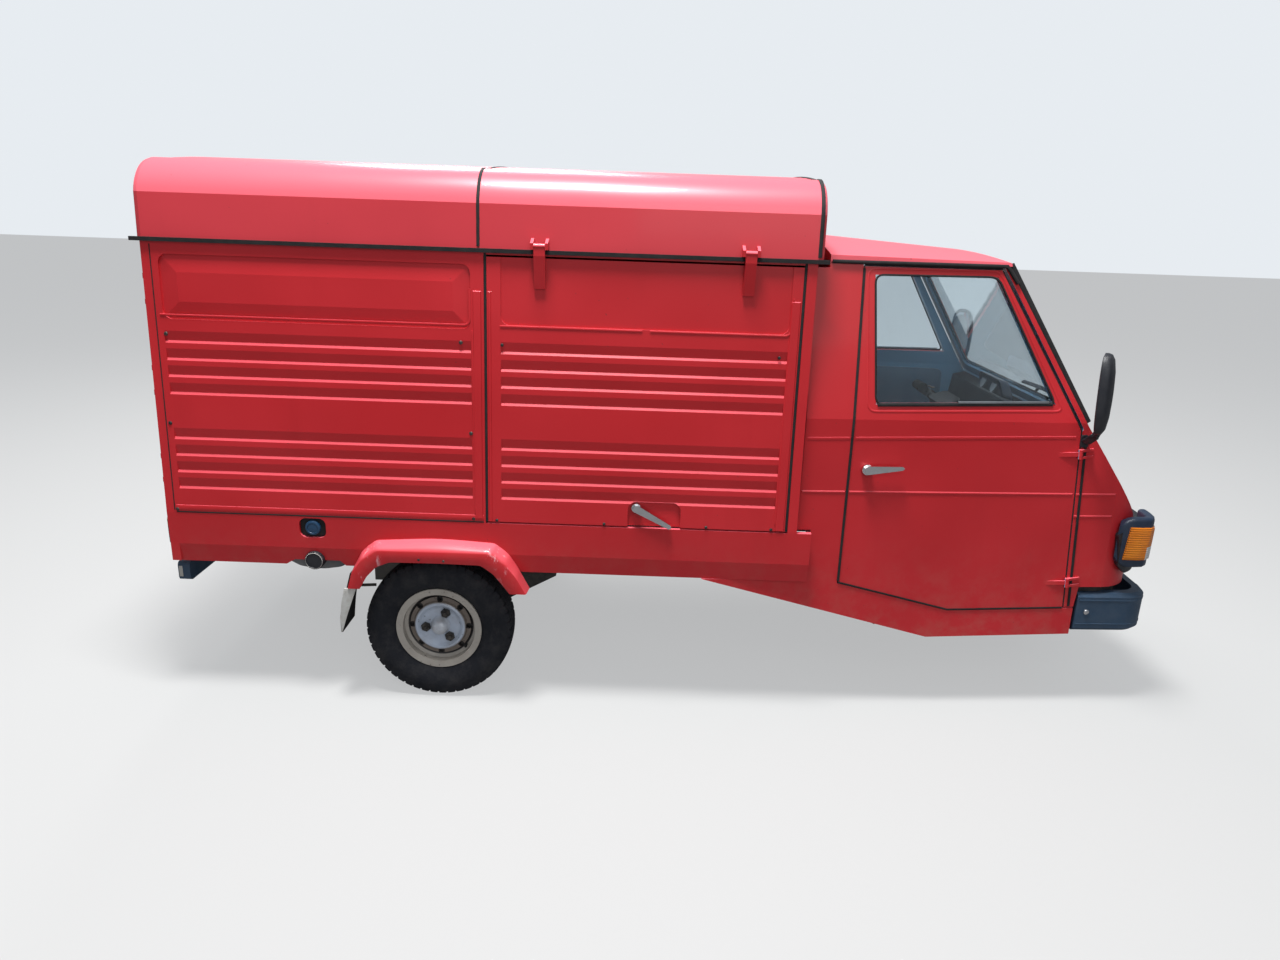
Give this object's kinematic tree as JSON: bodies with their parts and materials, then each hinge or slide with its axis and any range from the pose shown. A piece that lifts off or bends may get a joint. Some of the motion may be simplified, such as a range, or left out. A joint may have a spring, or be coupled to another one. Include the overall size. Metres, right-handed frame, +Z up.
{
  "type": "three wheeled van",
  "caption": "Three-wheeled light van: tapered cab with one steered front wheel and handlebar, ribbed steel load box with arched roof, hinged side flap, rear doors and cab doors.",
  "frame": {"origin": "on the ground under the middle of the overall length, on the centre plane", "axes": "+X forwards, +Y to the left of the vehicle, +Z up"},
  "size_m": [3.339, 1.48, 1.748],
  "materials": {
    "red": "gloss paint, a little faded",
    "glass": "clear, faint blue tint",
    "black_plastic": "satin black",
    "grey_plastic": "grained dark grey",
    "amber": "ribbed amber lens",
    "lamp": "clear ribbed lens",
    "tail_red": "red lens",
    "chrome": "chrome, lightly worn",
    "rubber": "matt black",
    "tyre": "matt, dusty",
    "rim": "silver grey paint, dusty",
    "frame_black": "black underbody paint, dusty",
    "cast": "rough cast",
    "steel": "bare steel, dull",
    "vinyl": "black vinyl",
    "floor": "red paint, scuffed"
  },
  "bodies": {
    "root": {"box_floor": "floor", "box_front_wall": "red", "box_left_wall": "red", "box_rear_frame": "red", "box_right_wall": "red", "box_roof": "red", "box_skirts": "red", "cab_floor": "floor", "cab_rear_wall": "red", "cab_roof": "red", "cab_sides": "red", "chassis_members": "frame_black", "chassis_rails": "frame_black", "dashboard": "black_plastic", "engine_block": "cast", "exhaust": "steel", "flap_hinge_ears": "red", "floor_bearers": "frame_black", "front_bumper": "grey_plastic", "front_wheel_arch": "floor", "fuel_tank": "black_plastic", "headlamps": "lamp", "indicators": "amber", "lamp_surrounds": "black_plastic", "mirrors": "black_plastic", "mud_flaps": "rubber", "nose": "red", "rear_bumper": "grey_plastic", "roof_gutters": "rubber", "seat_backrest": "vinyl", "seat_box": "floor", "seat_cushion": "vinyl", "suspension_springs": "steel", "tail_lamps": "tail_red", "trailing_arms": "frame_black", "wheel_flares": "red", "windscreen": "glass", "windscreen_frame": "red"},
    "rear_wheel_right": {"rear_wheel_right": "rim", "rear_tyre_right": "tyre"},
    "rear_wheel_left": {"rear_wheel_left": "rim", "rear_tyre_left": "tyre"},
    "steering": {"front_fork": "frame_black", "handlebar": "frame_black"},
    "front_wheel": {"front_wheel": "rim", "front_tyre": "tyre"},
    "cab_door_right": {"cab_door_right": "red", "door_glass_right": "glass", "door_handle_right": "chrome"},
    "cab_door_left": {"cab_door_left": "red", "door_glass_left": "glass", "door_handle_left": "chrome"},
    "side_flap": {"side_flap": "red", "flap_handle": "chrome"},
    "rear_door_right": {"rear_door_right": "red", "rear_door_handle": "chrome"},
    "rear_door_left": {"rear_door_left": "red"}
  },
  "joints": [
    {"name": "rear_wheel_right_spin", "type": "hinge", "parent": "root", "child": "rear_wheel_right", "pos_m": [-0.776, -0.625, 0.247], "axis": [0, 1, 0], "continuous": true},
    {"name": "rear_wheel_left_spin", "type": "hinge", "parent": "root", "child": "rear_wheel_left", "pos_m": [-0.776, 0.625, 0.247], "axis": [0, 1, 0], "continuous": true},
    {"name": "steering", "type": "hinge", "parent": "root", "child": "steering", "pos_m": [1.31, 0, 0.247], "axis": [-0.342, 0, 0.9397], "range_deg": [-35, 35]},
    {"name": "front_wheel_spin", "type": "hinge", "parent": "steering", "child": "front_wheel", "pos_m": [1.354, 0, 0.247], "axis": [0, 1, 0], "continuous": true},
    {"name": "cab_door_right_hinge", "type": "hinge", "parent": "root", "child": "cab_door_right", "pos_m": [1.34253, -0.597, 0.461], "axis": [-0.0648, 0.0148, 0.9978], "range_deg": [0, 68]},
    {"name": "cab_door_left_hinge", "type": "hinge", "parent": "root", "child": "cab_door_left", "pos_m": [1.34253, 0.597, 0.461], "axis": [-0.0648, -0.0148, 0.9978], "range_deg": [-68, 0]},
    {"name": "side_flap_hinge", "type": "hinge", "parent": "root", "child": "side_flap", "pos_m": [-0.1225, -0.67, 1.508], "axis": [1, 0, 0], "range_deg": [-95, 0]},
    {"name": "rear_door_right_hinge", "type": "hinge", "parent": "root", "child": "rear_door_right", "pos_m": [-1.649, -0.63879, 0.78], "axis": [0, 0.0468, 0.9989], "range_deg": [0, 110]},
    {"name": "rear_door_left_hinge", "type": "hinge", "parent": "root", "child": "rear_door_left", "pos_m": [-1.649, 0.63879, 0.78], "axis": [0, -0.0468, 0.9989], "range_deg": [-110, 0]}
  ]
}
